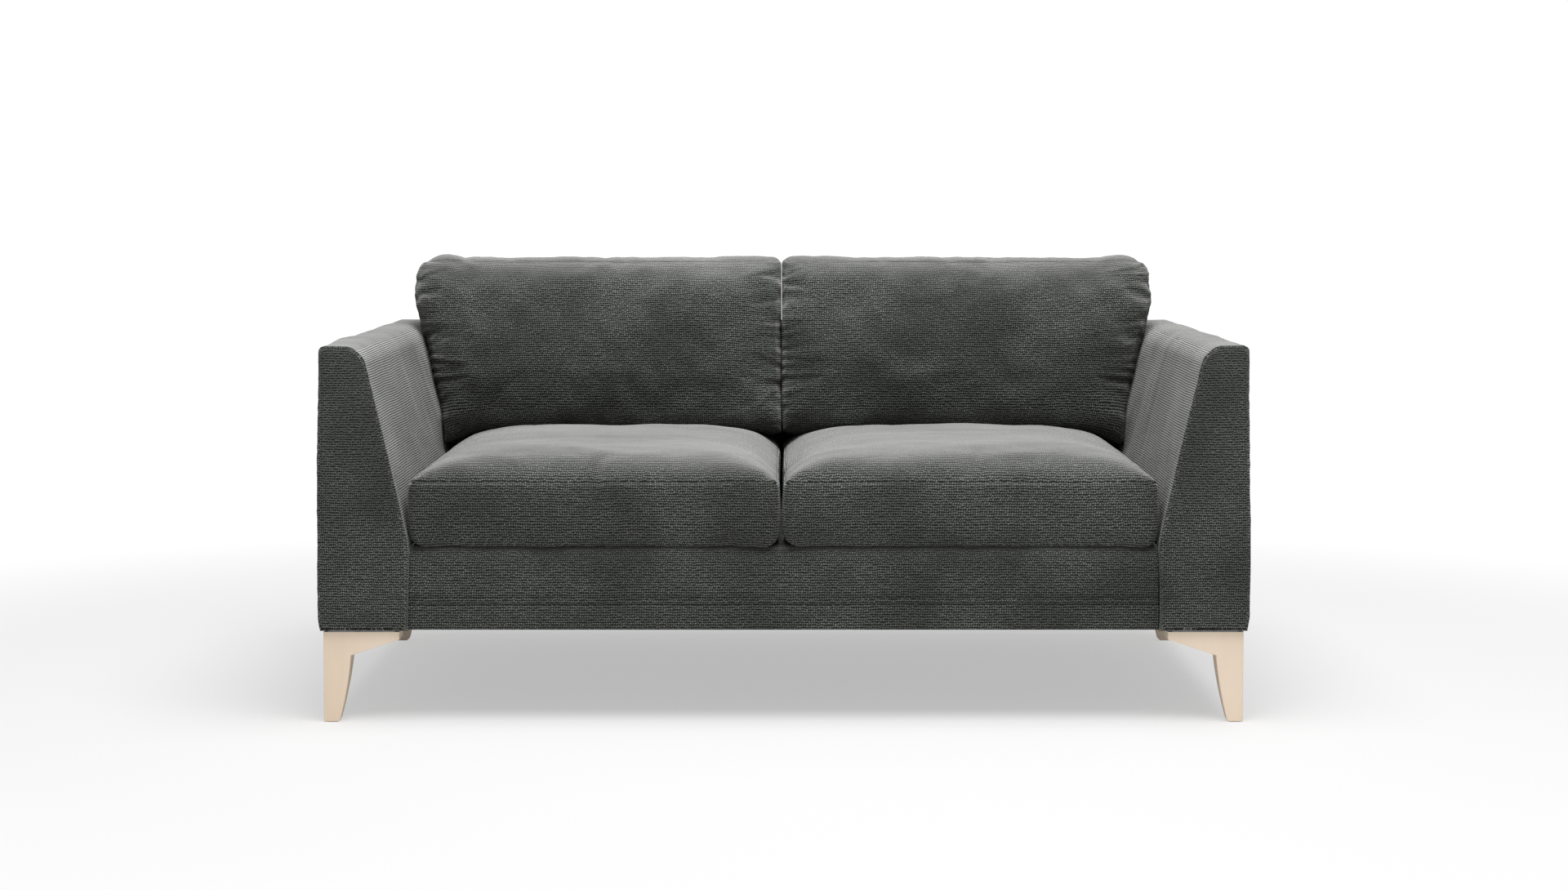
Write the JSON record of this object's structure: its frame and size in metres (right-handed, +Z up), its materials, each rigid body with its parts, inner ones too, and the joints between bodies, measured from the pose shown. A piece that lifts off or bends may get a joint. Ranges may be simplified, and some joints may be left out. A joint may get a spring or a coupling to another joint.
{
  "type": "two-seater sofa",
  "caption": "Two-seater sofa with tapered padded arms, loose crowned seat and back cushions, ribbed fabric cover and wooden bracket legs.",
  "frame": {"origin": "middle of the footprint on the floor, under the middle of the sofa", "axes": "+X to the right as seen from the front, +Y from the front to the back, +Z up"},
  "size_m": [1.64, 0.88, 0.8138],
  "materials": {
    "fabric": "dark green-grey ribbed chenille with a strong sheen",
    "foam": "open-cell foam and wadding",
    "plywood": "bare plywood",
    "fibreboard": "thin hard fibreboard",
    "pine": "planed softwood",
    "webbing": "elastic webbing",
    "lining": "non-woven black lining",
    "beech": "pale beech under satin lacquer",
    "steel": "zinc-plated steel",
    "glide_plastic": "felt-faced plastic",
    "zip_tape": "zip tape with a moulded chain",
    "zip_metal": "black lacquered zinc"
  },
  "bodies": {
    "frame": {"arm_cover_left": "fabric", "arm_cover_right": "fabric", "base_front_cover": "fabric", "deck_cover": "fabric", "back_inner_cover": "fabric", "back_outer_cover": "fabric", "arm_padding_left": "foam", "arm_padding_right": "foam", "base_padding": "foam", "deck_padding": "foam", "back_padding": "foam", "arm_base_boards": "plywood", "arm_front_boards": "plywood", "arm_rear_boards": "plywood", "arm_middle_boards": "plywood", "arm_top_boards": "plywood", "arm_inner_panels": "fibreboard", "arm_outer_panels": "fibreboard", "arm_lower_rails": "pine", "front_rail": "pine", "rear_rail": "pine", "side_rails": "pine", "centre_rail": "pine", "corner_blocks": "pine", "back_top_rail": "pine", "back_lower_rail": "pine", "back_posts": "pine", "seat_webbing": "webbing", "back_webbing": "webbing", "dust_cover": "lining", "leg_front_left": "beech", "leg_front_right": "beech", "leg_rear_left": "beech", "leg_rear_right": "beech", "leg_plates": "steel", "leg_bolts": "steel", "arm_bolts": "steel", "glides": "glide_plastic"},
    "seat_cushion_left": {"seat_cushion_cover_left": "fabric", "seat_cushion_core_left": "foam", "seat_zip_left": "zip_tape"},
    "seat_zip_slider_left": {"seat_zip_slider_left": "zip_metal"},
    "back_cushion_left": {"back_cushion_cover_left": "fabric", "back_cushion_core_left": "foam", "back_zip_left": "zip_tape"},
    "back_zip_slider_left": {"back_zip_slider_left": "zip_metal"},
    "seat_cushion_right": {"seat_cushion_cover_right": "fabric", "seat_cushion_core_right": "foam", "seat_zip_right": "zip_tape"},
    "seat_zip_slider_right": {"seat_zip_slider_right": "zip_metal"},
    "back_cushion_right": {"back_cushion_cover_right": "fabric", "back_cushion_core_right": "foam", "back_zip_right": "zip_tape"},
    "back_zip_slider_right": {"back_zip_slider_right": "zip_metal"}
  },
  "joints": [
    {"name": "seat_cushion_left_slide", "type": "slide", "parent": "frame", "child": "seat_cushion_left", "axis": [0, -1, 0], "range_m": [0, 0.8]},
    {"name": "seat_zip_left_slide", "type": "slide", "parent": "seat_cushion_left", "child": "seat_zip_slider_left", "axis": [-1, 0, 0], "range_m": [0, 0.44]},
    {"name": "back_cushion_left_lift", "type": "slide", "parent": "frame", "child": "back_cushion_left", "axis": [0, 0, 1], "range_m": [0, 0.4]},
    {"name": "back_zip_left_slide", "type": "slide", "parent": "back_cushion_left", "child": "back_zip_slider_left", "axis": [-1, 0, 0], "range_m": [0, 0.44]},
    {"name": "seat_cushion_right_slide", "type": "slide", "parent": "frame", "child": "seat_cushion_right", "axis": [0, -1, 0], "range_m": [0, 0.8]},
    {"name": "seat_zip_right_slide", "type": "slide", "parent": "seat_cushion_right", "child": "seat_zip_slider_right", "axis": [1, 0, 0], "range_m": [0, 0.44]},
    {"name": "back_cushion_right_lift", "type": "slide", "parent": "frame", "child": "back_cushion_right", "axis": [0, 0, 1], "range_m": [0, 0.4]},
    {"name": "back_zip_right_slide", "type": "slide", "parent": "back_cushion_right", "child": "back_zip_slider_right", "axis": [1, 0, 0], "range_m": [0, 0.44]}
  ]
}
